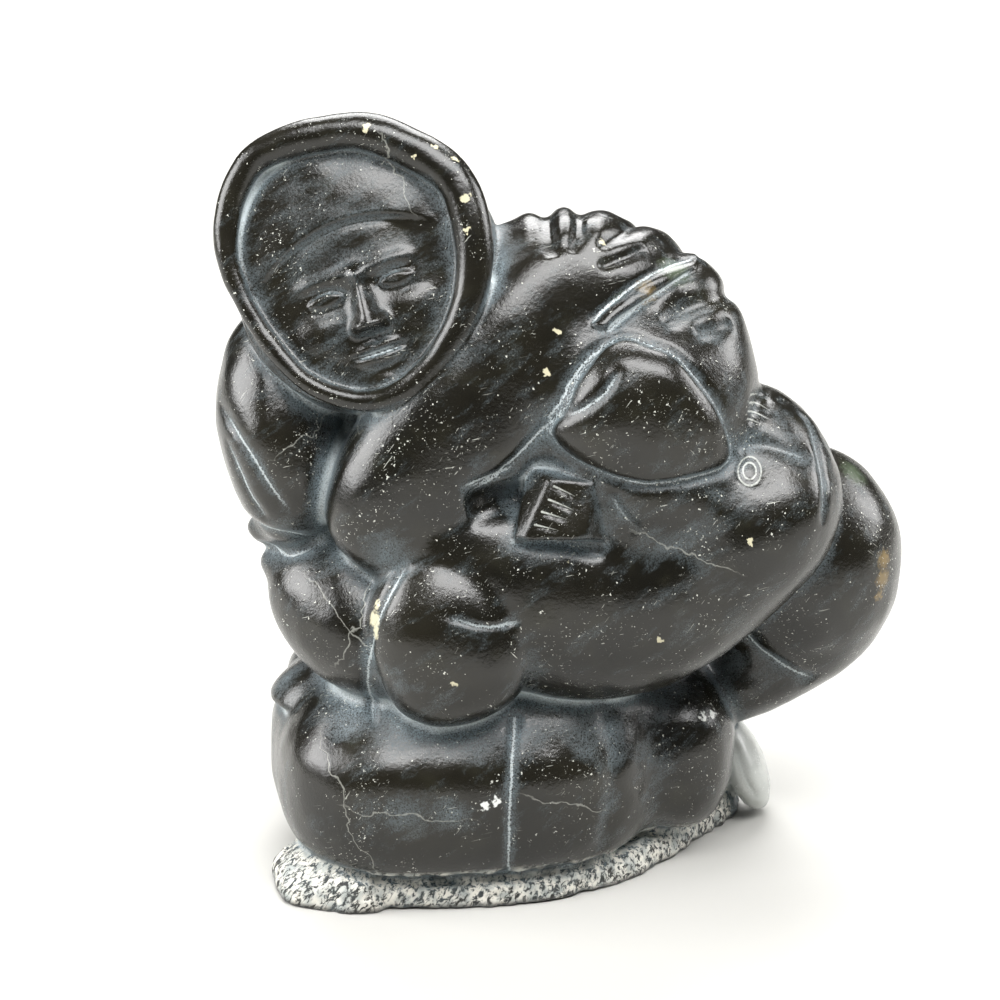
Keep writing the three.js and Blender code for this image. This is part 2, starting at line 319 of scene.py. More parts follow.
RIM = [
    (7, 30), (20.5, 22), (30, 9), (28, -10), (17, -26),
    (-1, -33.5), (-18, -24), (-26.5, -2.5), (-26.5, 15), (-15, 30),
]
FRINGE = (1.2, -24.0, 33.4)  # centre and radius of the arch that the fringe is cut to
FACE_X = 0.8  # the face's middle line
EYE_X, EYE_Y, EYE_HALF = 9.0, -7.2, 5.0  # an eye's place beside the middle line, and half its length
NOSE_ROOT, NOSE_LONG = -3.0, 13.0
MOUTH_Y = -22.5  # the parting of the lips


def bell(x, y, cx, cy, wx, wy, power=1):
    """A smooth mound of height 1 at (cx, cy), with half widths wx and wy. A high power flattens its top."""
    return np.exp(-((((x - cx) / wx) ** 2 + ((y - cy) / wy) ** 2) ** power))


def relief(x, y):
    """How far the face stands out of the hood's opening, at head measures x and y. A calm, even face."""
    h = 0.6 - (x / 30) ** 2 * 4.2 - ((y + 3) / 34) ** 2 * 4.0
    m = np.abs(x - FACE_X)  # both halves are alike
    brow_line = -2.6 - 0.012 * (m - 8) ** 2
    h += 1.1 * np.exp(-(((y - brow_line) / 1.9) ** 2)) * np.clip((17 - m) / 5, 0, 1)
    h -= 1.9 * bell(m, y, 8.6, -7.4, 6.0, 3.4)  # eye sockets
    h += 1.9 * bell(m, y, EYE_X, EYE_Y, 4.4, 2.2, 2)  # eyeballs
    arc = np.sqrt(np.clip(1 - ((m - EYE_X) / EYE_HALF) ** 2, 0, 1))
    at_eye = np.abs(m - EYE_X) < EYE_HALF + 0.2
    h -= 0.75 * np.exp(-(((y - (EYE_Y + 2.1 * arc)) / 0.5) ** 2)) * at_eye  # upper lids
    h -= 0.55 * np.exp(-(((y - (EYE_Y - 1.7 * arc)) / 0.5) ** 2)) * at_eye  # lower lids
    down = np.clip((NOSE_ROOT - y) / NOSE_LONG, 0, 1)  # 0 at the root of the nose, 1 at its tip
    ridge = np.exp(-((m / (1.7 + 1.5 * down)) ** 2)) * (1.2 + 3.6 * down)
    h += ridge * np.clip((y + 18.2) / 1.6, 0, 1) * np.clip((0.5 - y) / 4, 0, 1)
    h += 2.3 * bell(m, y, 3.1, -16.0, 1.7, 1.7)  # wings of the nose
    h += 1.3 * bell(m, y, 13.0, -15.0, 6.5, 6.0)  # cheeks
    h += 1.3 * bell(m, y, 0, -22.6, 8.5, 4.6)  # the mouth's mound
    h -= 0.5 * bell(m, y, 0, -19.6, 0.9, 1.5)  # the furrow over it
    bow = -20.9 - 0.5 * (m / 7) ** 2 - 0.35 * np.exp(-((m / 1.2) ** 2))
    h += 0.7 * np.exp(-(((y - bow) / 0.9) ** 2)) * np.clip((7 - m) / 4, 0, 1)  # upper lip
    h += 0.9 * np.exp(-(((y + 24.3 - 0.02 * m * m) / 1.2) ** 2)) * np.clip((6 - m) / 4, 0, 1)  # lower lip
    h -= 1.2 * np.exp(-(((y - MOUTH_Y - 0.006 * m * m) / 0.5) ** 2)) * np.clip((7.6 - m) / 2, 0, 1)
    h -= 0.6 * bell(m, y, 0, -26.8, 4, 1.0)
    h += 1.5 * bell(m, y, 0, -30.2, 6.5, 3.6)  # chin
    beyond = np.hypot(x - FRINGE[0], y - FRINGE[1]) - FRINGE[2]
    h += 1.5 / (1 + np.exp(-np.clip(beyond / 0.28, -30, 30))) - 0.5 * np.exp(-(((beyond + 0.8) / 0.9) ** 2))
    return h


def face():
    """The face and the fringe, as a slab bounded in front by the relief."""
    body = pod(in_head(0.5, -35, -13), in_head(0.5, 35, -13), 31, 30, boxy=2.3)

    def distance(x, y, z):
        u, v, w = head_measures(x, y, z)
        return np.maximum(body[2](x, y, z), (w - relief(u, v)) * 0.85)

    return body[0], body[1], distance


def hood():
    """The hood's back: a full form, cut off just behind the plane of the rim."""
    body = pod(in_head(1, -36, -12), in_head(2, 33, -12), 32, 26)

    def distance(x, y, z):
        return soft_max(body[2](x, y, z), head_measures(x, y, z)[2] + 0.5, 2)

    return body[0], body[1], distance


def rim():
    """The rolled edge of the hood, thicker on the viewer's right."""
    path = spline([in_head(x, y, 0) for x, y in RIM], 2.0, closed=True)
    path = np.vstack([path, path[:1]])
    u = np.linspace(0, 1, len(path))
    return ring(path, 3.6 + 1.3 * np.cos(2 * math.pi * (u - 0.12)))


# ---- the base ---------------------------------------------------------------------------------------------

SLAB = 8.0  # its thickness
SHOULDER = 5.0  # radius of the slab's worn top edge
BASE = [
    (-69, -32), (-58, -45), (-6, -42), (20, -27), (38, -5),
    (50, 18), (38, 38), (0, 46), (-40, 40), (-62, 4),
]


def inside_gap(outline, x, y):
    """Distance from a closed outline, below zero inside it."""
    gap = np.full(np.broadcast(x, y).shape, 1e3, np.float32)
    inside = np.zeros(gap.shape, bool)
    for (ax, ay), (bx, by) in zip(outline, np.roll(outline, -1, axis=0)):
        ex, ey = bx - ax, by - ay
        px, py = x - ax, y - ay
        t = np.clip((px * ex + py * ey) / max(ex * ex + ey * ey, 1e-9), 0, 1)
        gap = np.minimum(gap, np.hypot(px - t * ex, py - t * ey))
        crosses = (ay > y) != (by > y)
        inside ^= crosses & (px < ex * py / (ey if ey else 1e-9))
    return np.where(inside, -gap, gap)


def base():
    """The slab under the figure: flat below, its top edge worn round."""
    outline = spline(BASE, 3.0, closed=True)

    def distance(x, y, z):
        side = inside_gap(outline, x[:, :, 0], y[:, :, 0])[:, :, None] + SHOULDER
        rise = z - SLAB + SHOULDER
        out = np.hypot(np.maximum(side, 0), np.maximum(rise, 0)) + np.minimum(np.maximum(side, rise), 0)
        return soft_max(out - SHOULDER, -z, 1)

    return np.append(outline.min(0), 0), np.append(outline.max(0), SLAB), distance


# ---- the carving's rounded forms --------------------------------------------------------------------------

leg = pod((-71, -14, 26), (23, 2, 25), 24.5, 43, boxy=3.0)
toe = pod((27, 0, 5), (29, 0, 49), 17.8, 25, boxy=2.5)
thigh = pod((-60, -20, 41), (22, -12, 42), 13.5, 23, boxy=2.3)
knee = pod((62, 8, 103), (60, 6, 43), 27, 27)
boot = pod((78, 4, 60), (30, 12, 31), 11.5, 19)
foot = pod((43, 12, 28), (55.5, 16, 1.5), 6, 12)
mound = pod((-70, -22, 2.5), (-44, -46, 2.5), 9.0, 9)

skirt = pod((-69, 8, 42), (20, 12, 44), 12.5, 36)
flare = pod((-72.8, -6, 36.5), (-15, 0, 40), 15.5, 21, boxy=2.2)
HEM = 40.5  # the level that the flare of the skirt is cut off at
torso = pod((-20, 10, 20), (-36, 6, 145), 36, 34)
nape = pod((-30, 6, 172), (-24, 2, 134), 13.5, 22)
right_shoulder = pod((-71, 3, 140), (-62, -16, 84), 16.5, 24)
elbow_folds = [
    pod((-76, -1, 85.5), (-52, -16, 87), 5.0, 9),
    pod((-72.5, -4, 77.5), (-52, -18, 81), 5.0, 9),
]
forearm = pod((-68, -6, 79), (-29, -36, 57.5), 17.8, 17)
upper_arm = pod((-50, -30, 86), (14, -10, 160), 21.5, 19.5, boxy=2.45)
sleeve = pod((-22, -4, 156.5), (43.5, -14, 104), 19.5, 20, bend=13.3, boxy=2.1)
elbow = pod((30.5, -10, 155), (41, -20, 110), 10.5, 16)
right_mitten = pod((-34.5, -36, 89), (-18.5, -38, 49), 19, 16, boxy=2.3, taper=0.1)
left_hand = pod((-6, -25, 116), (44, -25, 125), 25.5, 20.8)
seal_flank = pod((0, -26, 102), (48, -26, 103), 13, 19)

seal_body = pod((-54, -20, 102), (67, -16, 98), 28, 29, bend=-24.5, boxy=2.2)
seal_head = pod((30, -24, 79), (64, -24, 109), 18, 22)
seal_brow = pod((38, -14, 119), (61, -16, 101), 13, 18, boxy=2.3)
flipper = facets(
    (-16, -50, 93),
    (14, -30, 112),
    [
        ((-2.8, -41.0, 108.4), (-0.15, -0.90, 0.41)),  # its face
        ((-2.8, -41.0, 108.4), (-0.63, -0.58, 0.51)),  # the narrow side towards the hollow
        ((-9.8, -42.0, 101.0), (-0.98, 0.10, 0.15)),
        ((9.6, -41.5, 104.9), (0.80, -0.58, 0.16)),
        ((0, -46.5, 96.2), (0, -0.35, -0.94)),
        ((2, -38.0, 110.0), (0, -0.2, 0.98)),
    ],
)

height = AXES[2][None, None, :]
add(blend(3, base(), mound), 0)
field[:] = soft_max(field, -height, 1)  # flat below
add(blend(8, blend(7, leg, toe), thigh), 1.0)
add(blend(6, knee, boot), 1.5)
add(foot, 1)
add(blend(6, torso, nape, skirt), 1.5)
hemmed = (flare[0], flare[1], lambda x, y, z: soft_max(flare[2](x, y, z), HEM - z, 1.5))
add(hemmed, 1.5)
add(right_shoulder, 2.5)
for fold in elbow_folds:
    add(fold, 3)
add(forearm, 3)
add(blend(7, seal_body, seal_head, seal_brow, seal_flank), 1.5)
add(blend(6, upper_arm, blend(3, sleeve, elbow)), 2.5)
add(left_hand, 7)
add(right_mitten, 2)
add(hood(), 1.5)
add(face(), 0)
add(rim(), 0.8)

# ---- carving on the skin ----------------------------------------------------------------------------------

# The mitten round the seal's neck: its edge as seen from the front.
MITTEN_EDGE = [
    (-3.4, 120), (-2, 124), (1.5, 130.5), (6, 137), (10.7, 141), (15.4, 142.5), (21.3, 141), (27, 138.5),
    (33, 132), (37.5, 125), (40.5, 116), (39, 111.8), (33, 110.5), (25.6, 109.6), (18.5, 109.3), (9.2, 111.5),
    (1.2, 115),
]
raise_panel(MITTEN_EDGE, 2.2, 5)
press(on_front(MITTEN_EDGE + MITTEN_EDGE[:1]), 0.8, 2.4, ends=0)

# The sleeve: the arm runs in under the gathered roll, and a flat band crosses the cloth.
BAND_TOP = [(33, 156.3), (24.8, 155.6), (18.8, 153.3), (12.9, 149.6), (9.5, 147), (7, 144.6)]
BAND_FOOT = [(32, 154.4), (25.3, 151.7), (19.7, 148.9), (14.3, 146), (11, 143.5)]
raise_panel(BAND_TOP + BAND_FOOT[::-1], 1.2, 1.6)
press(on_front(BAND_TOP), 0.6, 1.6, ends=0.08)
press(on_front(BAND_FOOT), 0.6, 1.4, ends=0.08)

# Folds of the sleeve: marks [x, y] over the ridge from the back, marks [x, z] down the front, width, depth.
SLEEVE_FOLDS = [
    ([(-4, 14), (-2.9, -12)], [(-2.6, 162.4), (-2.2, 161), (-1.9, 158.8)], 1.3, 3.4),
    ([(6, 14), (4.8, -13)], [(4.4, 163.2), (3.5, 162), (2.6, 159.8)], 1.0, 3.4),
    ([(24, 10), (17.5, -8)], [(15.5, 163.2), (12.4, 162.4), (9, 160.8)], 1.0, 3.0),
    ([(36, 6), (28, -12)], [(25.7, 158.4), (24.5, 157.2)], 1.6, 1.8),
    (
        [(42, 6), (41.5, -8)],
        [(40.5, 148), (36.7, 148.6), (32.9, 148), (28.1, 146.4), (23.6, 144.6)],
        1.6,
        3.8,
    ),
]
# The swells of cloth between them.
SLEEVE_SWELLS = [
    ([(-8, 10), (-7, -12)], [(-6.8, 161.5), (-6.5, 160)]), ([(1, 10), (1, -12)], [(0.8, 163), (0.6, 161)]),
    ([(14, 10), (10, -12)], [(8.5, 163.5), (6.5, 161.5)]), ([(30, 8), (22, -12)], [(19, 160.5), (13, 159.5)]),
]
for top, marks in SLEEVE_SWELLS:
    press(np.vstack([on_top(top), on_front(marks)]), 3.0, -1.0, ends=0.25, soft=True)
for top, marks, width, depth in SLEEVE_FOLDS:
    press(np.vstack([on_top(top), on_front(marks)]), width, depth, ends=0.15, dust=0)
press(on_front([(40.8, 142.9), (37.9, 142.6), (31.4, 142.2)]), 1.2, 2.6, ends=0.2, dust=0)
press(on_front([(9, 156.7), (13.5, 158), (17.5, 159.3), (20.5, 160)]), 0.9, 2.2, ends=0.2, dust=0)

# The left thumb.
press(on_front([(-1, 124.5), (3.4, 126.5), (6.8, 128.7), (9.5, 131), (11.5, 133.5), (13.7, 137.5)]), 0.9, 1.8)

# The right arm: cuff, thumb and the folds at the elbow.
CUFF = [(-36, 89), (-39.9, 83), (-42.5, 77.5), (-44.5, 71), (-46, 57.1), (-44.5, 46)]
press(on_front(CUFF), 0.9, 2.2, ends=0.1)
press(on_front([(-28.7, 79.6), (-23.4, 78), (-18.7, 76.5), (-14, 75.7), (-8.6, 76)]), 0.5, 1.4, dust=0.6)
press(on_front([(-82, 121), (-77.3, 116.4), (-72.4, 110), (-67.8, 102.6), (-63.3, 96.5)]), 1.6, 1.6, ends=0.2)
press(on_front([(-80, 113.5), (-76.6, 105.9), (-73, 98.8), (-70, 94)]), 1.5, 1.4)
press(on_front([(-76, 91), (-71.1, 90.6), (-64.9, 90.3), (-59, 88)]), 1.2, 2.4, ends=0.2)
press(on_front([(-74, 83), (-66.5, 83.2), (-58.9, 86.7)]), 1.2, 2.0, ends=0.2)

# The legs: a seam, the valley beside the toe, the top of the boot and the edge of the foot's sole.
press(on_front([(-10.3, 48), (-10.9, 40.8), (-11.4, 30.2), (-12, 9)]), 0.9, 1.8, ends=0)
press(on_front([(11.5, 48), (12.3, 44), (13.6, 38.9), (13.4, 28.4), (11, 12)]), 2.4, 1.7, ends=0.1, dust=0.35)
press(on_front([(44, 63), (50.2, 55.7), (54.5, 52.5), (58.6, 50), (65, 46.5)]), 1.6, 2.6, ends=0.1)
press(on_front([(46.5, 24), (49.5, 14), (53, 8)]), 0.8, 1.6)

# The seal: mouth, edge of the brow, whiskers, nostril and eye.
MOUTH = [(57.5, 120), (60.5, 117.1), (61.5, 113.5), (62.5, 108), (62.8, 103), (62.7, 97)]
press(on_front(MOUTH), 0.8, 2.2, ends=0.15, dust=0.6)
press(on_front([(41.7, 115.7), (48.6, 115.6), (54.6, 113.9), (60.5, 111.8)]), 1.2, 2.0, ends=0.2, dust=0.6)
WHISKERS = [
    ((45.3, 126.2), (50.4, 123.0)), ((45.0, 124.6), (50.3, 121.6)),
    ((44.6, 122.9), (49.6, 120.3)), ((44.4, 121.2), (49.0, 118.9)),
]
for start, end in WHISKERS:
    press(on_front([start, end]), 0.5, 0.5, ends=0.2, dust=0)
press(on_front([(53.4, 122.6), (54.6, 122.2)]), 0.9, 1.8, ends=0, dust=0)
SEAL_EYE = (44.7, 110.2)
turns = np.linspace(0, 2 * math.pi, 17)
eye_ring = [(SEAL_EYE[0] + 2.1 * math.cos(turn), SEAL_EYE[1] + 2.1 * math.sin(turn)) for turn in turns]
press(on_front(eye_ring), 0.6, 0.9, ends=0, dust=0)

# The arm's lower edge over the seal.
ARM_EDGE = [(10, 140.5), (3.8, 133), (-0.3, 125), (-7, 116.8), (-14, 109.8), (-23, 102.7)]
press(on_front(ARM_EDGE), 1.2, 2.2, ends=0.15)

# The hollow behind the flipper, then the flipper itself with its claws and the folds round it.
press(on_front([(-22, 102.3), (-14, 103.5), (-8, 102)]), 3.2, 4.5, ends=0.3, soft=True)
press(on_front([(-24, 107), (-16.3, 109.5), (-9, 112)]), 1.2, 1.4)
add(flipper, 0.8)
CLAWS = [
    ((-1.4, 107.9), (3.4, 105.9)), ((-2.6, 105.0), (3.2, 102.9)),
    ((-4.2, 102.3), (1.7, 100.8)), ((-5.8, 99.4), (0.3, 98.3)),
]
for start, end in CLAWS:
    press(on_front([start, end]), 0.5, 0.6, ends=0.3, dust=0)
press(on_front([(-10.5, 95.2), (0.1, 93.8), (11, 91.3)]), 1.0, 2.0, ends=0.2, dust=0.3)
press(on_front([(11.5, 106.5), (14, 102), (18.8, 96.5)]), 1.3, 2.0, ends=0.2, dust=0.6)

# ---- the touch of the file and the point ------------------------------------------------------------------

# The file left broad waves and smaller ones on them.
BROAD_WAVES = (0.34, 11.0)  # height and length
SMALL_WAVES = (0.16, 4.5)
near_skin = np.argwhere(np.abs(field) < 2.5)
spots = near_skin * CELL + LOW
filed = BROAD_WAVES[0] * random_lattice(spots, BROAD_WAVES[1], 1)
filed += SMALL_WAVES[0] * random_lattice(spots, SMALL_WAVES[1], 2)
field[tuple(near_skin.T)] += filed.astype(np.float32)
del near_skin, spots, filed

PECKS = 1900


def pecks(count):
    """Short strokes of the point all over the base's edge, each brought onto the skin and then pressed."""
    draw = np.random.default_rng(7)
    outline = spline(BASE, 0.5, closed=True)
    pick = draw.integers(0, len(outline), count)
    spread = draw.uniform(-9, 2.5, count)  # from well inside the outline to just outside it
    outward = outline - outline.mean(0)
    outward = outward / np.linalg.norm(outward, axis=1)[:, None]
    start = np.column_stack([outline[pick] + outward[pick] * spread[:, None], draw.uniform(1.5, 9.5, count)])
    for _ in range(5):
        start = start - slope(field, start, 1.0) * np.clip(sample(field, start), -4, 4)[:, None] * 0.9
    out = slope(field, start, 1.0)
    along = np.cross(out, draw.normal(size=(count, 3)) + np.array([0, 0, 0.8]))
    along = along / np.linalg.norm(along, axis=1)[:, None]
    long = draw.uniform(0.5, 2.2, count)[:, None]
    for middle, half, size in zip(start, along * long, draw.uniform(0.5, 1.0, count)):
        if 1.0 < middle[2] < SLAB + 1.5:
            press(np.array([middle - half, middle + half]), 0.8 * size, 1.4 * size, ends=0, dust=0)


# ---- from the field to a mesh -----------------------------------------------------------------------------


def surface_of(grid):
    """One vertex in each cell that the surface crosses, and a quad round each grid edge that it crosses."""
    inside = grid < 0
    corners = list(itertools.product((0, 1), repeat=3))
    shape = np.array(grid.shape) - 1
    views = [inside[i : i + shape[0], j : j + shape[1], k : k + shape[2]] for i, j, k in corners]
    some, every = views[0].copy(), views[0].copy()
    for v in views[1:]:
        some |= v
        every &= v
    active = some & ~every
    cells = np.argwhere(active)
    number = np.full(active.shape, -1, np.int64)
    number[active] = np.arange(len(cells))
    values = np.stack([grid[cells[:, 0] + i, cells[:, 1] + j, cells[:, 2] + k] for i, j, k in corners], 1)
    total = np.zeros((len(cells), 3))
    crossings = np.zeros(len(cells))
    for a, b in itertools.combinations(range(8), 2):
        step = np.array(corners[b]) - np.array(corners[a])
        if np.abs(step).sum() != 1:
            continue
        va, vb = values[:, a], values[:, b]
        crossed = (va < 0) != (vb < 0)
        t = np.where(crossed, va / np.where(crossed, va - vb, 1), 0)
        total += np.where(crossed[:, None], np.array(corners[a]) + t[:, None] * step, 0)
        crossings += crossed
    points = (cells + total / crossings[:, None]) * CELL + LOW
    quads = []
    for axis in range(3):
        u, v = [i for i in range(3) if i != axis]
        near = [slice(1, -1)] * 3
        far = [slice(1, -1)] * 3
        near[axis], far[axis] = slice(0, -1), slice(1, None)
        a, b = inside[tuple(near)], inside[tuple(far)]
        at = np.argwhere(a != b)
        start = a[a != b]
        at[:, u] += 1
        at[:, v] += 1
        around = []
        for du, dv in ((1, 1), (0, 1), (0, 0), (1, 0)):
            cell = at.copy()
            cell[:, u] -= du
            cell[:, v] -= dv
            around.append(number[cell[:, 0], cell[:, 1], cell[:, 2]])
        quad = np.stack(around, 1)
        flip = start if axis != 1 else ~start
        quad[~flip] = quad[~flip][:, ::-1]
        quads.append(quad)
    return points, np.vstack(quads)


def slope(grid, points, reach):
    """The unit direction in which the field grows."""
    rise = np.zeros((len(points), 3))
    for i in range(3):
        step = np.zeros(3)
        step[i] = reach
        rise[:, i] = sample(grid, points + step) - sample(grid, points - step)
    return rise / np.maximum(np.linalg.norm(rise, axis=1), 1e-6)[:, None]


def settled(grid, points, rounds=3):
    """Points moved onto the surface of the field."""
    for _ in range(rounds):
        out = slope(grid, points, CELL * 0.6)
        points = points - out * np.clip(sample(grid, points), -CELL, CELL)[:, None] * 0.9
    return points


def mesh_from(name, points, faces):
    """A mesh of points and of faces that all have the same number of corners."""
    mesh = bpy.data.meshes.new(name)
    sides = faces.shape[1]
    mesh.vertices.add(len(points))
    mesh.vertices.foreach_set("co", np.asarray(points, np.float32).ravel())
    mesh.loops.add(faces.size)
    mesh.loops.foreach_set("vertex_index", np.asarray(faces, np.int32).ravel())
    mesh.polygons.add(len(faces))
    mesh.polygons.foreach_set("loop_start", np.arange(0, faces.size, sides, dtype=np.int32))
    mesh.update()
    mesh.validate()
    return mesh


def points_of(mesh):
    co = np.zeros(len(mesh.vertices) * 3, np.float32)
    mesh.vertices.foreach_get("co", co)
    return co.reshape(-1, 3).astype(float)


def drop_sealed_hollows(mesh):
    """Takes out the tiny closed surfaces that some pecks leave inside the stone."""
    stone = bmesh.new()
    stone.from_mesh(mesh)
    outer, waiting = set(), [min(stone.verts, key=lambda corner: corner.co.x)]
    while waiting:
        corner = waiting.pop()
        if corner not in outer:
            outer.add(corner)
            waiting.extend(edge.other_vert(corner) for edge in corner.link_edges)
    hidden = [corner for corner in stone.verts if corner not in outer]
    bmesh.ops.delete(stone, geom=hidden, context="VERTS")
    stone.to_mesh(mesh)
    stone.free()


pecks(PECKS)
field[:] = np.maximum(field, -height)  # the underside stays flat
points, quads = surface_of(field)
points = settled(field, points)
whole = bpy.data.objects.new("soapstone_hunter", mesh_from("soapstone_hunter", points, quads))
bpy.context.scene.collection.objects.link(whole)
thin = whole.modifiers.new("thin", "DECIMATE")
thin.ratio = min(1.0, TRIANGLES / (2.0 * len(quads)))
thin.use_collapse_triangulate = True
bpy.context.view_layer.update()
evaluated = whole.evaluated_get(bpy.context.evaluated_depsgraph_get())
finished = bpy.data.meshes.new_from_object(evaluated)
whole.modifiers.clear()
whole.data = finished
finished.name = "soapstone_hunter"
drop_sealed_hollows(finished)

points = settled(field, points_of(finished), 1)
normals = slope(field, points, 0.5)

# ---- what each point of the mesh tells the material ------------------------------------------------------

DUST_WIDTH = 1.5  # half width of the dusty halo along a pressed line
OPEN_STONE = 9.0  # stands for the way to a dusty line where none is near


def attribute(name, values):
    """Stores a number or a vector for each point of the finished mesh."""
    values = np.asarray(values, np.float32)
    kind, key = ("FLOAT", "value") if values.ndim == 1 else ("FLOAT_VECTOR", "vector")
    finished.attributes.new(name, kind, "POINT").data.foreach_set(key, values.ravel())


def hollow(reach):
    """How far the stone closes in over a point, from 0 in the open to 1 in a crease."""
    return np.clip(1 - sample(field, points + normals * reach) / reach, 0, 1.5)


def dusty_lines():
    """How dusty each point is from the pressed lines, and the way to it from the nearest of them."""
    halo = np.zeros(len(points))
    aside = np.full((len(points), 3), OPEN_STONE)
    for path, ends, dust in carved:
        path = settled(field, path, 4)
        near = np.flatnonzero(np.all((points > path.min(0) - 6) & (points < path.max(0) + 6), axis=1))
        gap, where = near_path(path, *points[near].T, np.zeros(len(path)))
        fade = np.clip(np.minimum(where, 1 - where) / max(ends, 1e-3), 0, 1) if ends else 1
        halo[near] = np.maximum(halo[near], np.exp(-((gap / DUST_WIDTH) ** 2)) * fade * dust)
        step = np.minimum((where * (len(path) - 1)).astype(int), len(path) - 2)
        share = (where * (len(path) - 1) - step)[:, None]
        away = points[near] - path[step] * (1 - share) - path[step + 1] * share
        closer = gap < np.linalg.norm(aside[near], axis=1)
        aside[near[closer]] = away[closer]
    return halo, aside


x, y, z = points.T
on_sleeve = np.clip((z - 143) / 8, 0, 1) * np.clip((x + 14) / 6, 0, 1)
wiped = 1 - 0.65 * on_sleeve  # the cloth took most of the dust off the left sleeve
attribute("crease", hollow(1.3) * wiped)
attribute("valley", hollow(3.5) * wiped)
attribute("bay", hollow(9.0) * wiped)

# The point bruised the base up to a little over the slab, but not the leg, the toe or the foot.
low_down = np.clip((SLAB + 3.5 - z) / 1.2, 0, 1) * np.clip((z - 0.6) / 1.2, 0.25, 1)
off_leg = np.clip((np.minimum(leg[2](x, y, z), toe[2](x, y, z)) + 0.7) / 0.9, 0, 1)
attribute("pecked", low_down * off_leg * (x < 46.5))
halo, aside = dusty_lines()
attribute("halo", halo)
attribute("aside", aside)
attribute("sole", (foot[2](x, y, z) < 0.9) & (x > 41.5) & (z < 26))

in_place = (points - np.array([MIDDLE[0], MIDDLE[1], 0])) * MM
finished.vertices.foreach_set("co", in_place.astype(np.float32).ravel())
finished.update()
finished.polygons.foreach_set("use_smooth", np.ones(len(finished.polygons), bool))
finished.normals_split_custom_set_from_vertices(normals.tolist())
print("triangles", len(finished.polygons), "of", 2 * len(quads))

# ---- materials --------------------------------------------------------------------------------------------


def linear(hex_colour):
    """An sRGB hex colour as linear red, green, blue and 1."""
    parts = [int(hex_colour[i : i + 2], 16) / 255 for i in (1, 3, 5)]
    return tuple(c / 12.92 if c <= 0.04045 else ((c + 0.055) / 1.055) ** 2.4 for c in parts) + (1.0,)


MATH, VECTOR, NOISE = "ShaderNodeMath", "ShaderNodeVectorMath", "ShaderNodeTexNoise"
RANGE, MIX, ATTRIBUTE = "ShaderNodeMapRange", "ShaderNodeMix", "ShaderNodeAttribute"
MAPPING, PRINCIPLED = "ShaderNodeMapping", "ShaderNodeBsdfPrincipled"


def node(tree, kind, sockets=None, out=0, **settings):
    """Adds a node with its settings, links or fills its sockets, and gives the output asked for."""
    made = tree.nodes.new(kind)
    for key, value in settings.items():
        setattr(made, key, value)
    for key, value in (sockets or {}).items():
        if isinstance(value, bpy.types.NodeSocket):
            tree.links.new(value, made.inputs[key])
        else:
            made.inputs[key].default_value = value
    return made.outputs[out]


def new_material(name):
    material = bpy.data.materials.new(name)
    material.use_nodes = True
    material.node_tree.nodes.clear()
    return material, material.node_tree


# Flaws in the stone: [x, y, z] and radius in mm.
CREAM_FLECKS = [
    (-45, -16.5, 188, 1.7), (-29, -19.7, 184, 1.5), (-34, -20.5, 182, 1.0), (-24.5, -20.5, 181.4, 1.1),
    (-22.1, -25.6, 173, 1.9), (-21.7, -27.9, 166, 1.2), (9.3, -20.2, 161, 1.9), (-0.5, -33, 143, 1.2),
    (-3.3, -36, 134, 1.3), (11.8, -49, 116, 0.9), (2.2, -45, 91, 1.6), (44.5, -46, 95.8, 1.1),
    (23.9, -46, 70.8, 1.5), (-24.6, -53, 63, 1.3), (-63.7, -29, 111, 1.3), (-73, -24, 98.8, 1.5),
    (41.2, -26, 134.7, 1.2), (-44.4, -43.4, 75.5, 3.2), (-43.2, -44.2, 72.4, 2.7), (-43.6, -43.4, 79, 2.2),
]
WHITE_CHIPS = [
    (39.7, -17.5, 40.7, 2.2), (36.8, -19.5, 40.9, 1.6), (-17.6, -48.5, 29.6, 1.7), (-14.8, -48.5, 30.6, 1.9),
]
OCHRE_STAINS = [(81.5, -10.3, 79, 3.0), (81.2, -11, 74, 3.4), (80.4, -12, 69.8, 2.0), (20, -26, 150.5, 3.5)]
GREEN_PATCHES = [(75, 0, 99, 5.0), (27, -21, 154.5, 5.0), (14, -26, 148, 4.0)]

# Where dust lies on open stone: [x, y, z] and radius in mm.
DUST_PATCHES = [
    (-46, -46, 28.5, 7), (-36, -48, 28, 8), (-26, -49, 27.5, 7), (-50, -34, 46, 9), (-36, -40, 47, 11),
    (-22, -42, 46, 11), (-8, -42, 46, 8), (-17, -44, 113, 6), (-66, -28, 92, 7), (8, -40, 45, 9),
    (12, -32, 42, 6), (13.5, -33, 34, 5), (-67, -8, 46, 7), (62, -35, 62, 8), (-42, -40, 92, 7),
]

# Hair cracks: a point on the plane of each, the plane's normal, and how far it reaches in mm.
CRACKS = [
    ((-50, -46, 26), (0.93, 0.1, 0.36), 22), ((-36, -46, 27), (0.12, 0.2, 0.97), 18),
    ((0, -40, 28), (0.25, 0.1, 0.96), 14), ((-52, -35, 73), (0.75, 0.2, 0.62), 16),
    ((-49, -35, 72), (0.9, 0.1, -0.4), 14), ((-57, -24, 118), (0.3, 0.3, -0.9), 16),
    ((-38, -20, 178), (0.9, 0.1, 0.42), 12), ((30, -40, 92), (0.35, 0.1, 0.93), 16),
]


# Fine straight marks from years of handling: the turn of each set, its width and length in mm, and the noise
# above which it shows. Real ones are about 0.1 mm wide, too fine to show, so they are drawn three or four
# times as wide.
SCRATCHES = [
    ((0.1, 0.6, 0.2), 0.4, 9, 0.735), ((0.3, -0.8, 0.1), 0.35, 6, 0.74),
    ((0.2, 1.4, 0.4), 0.4, 12, 0.73), ((1.2, 0.1, 0.9), 0.35, 6, 0.74),
]

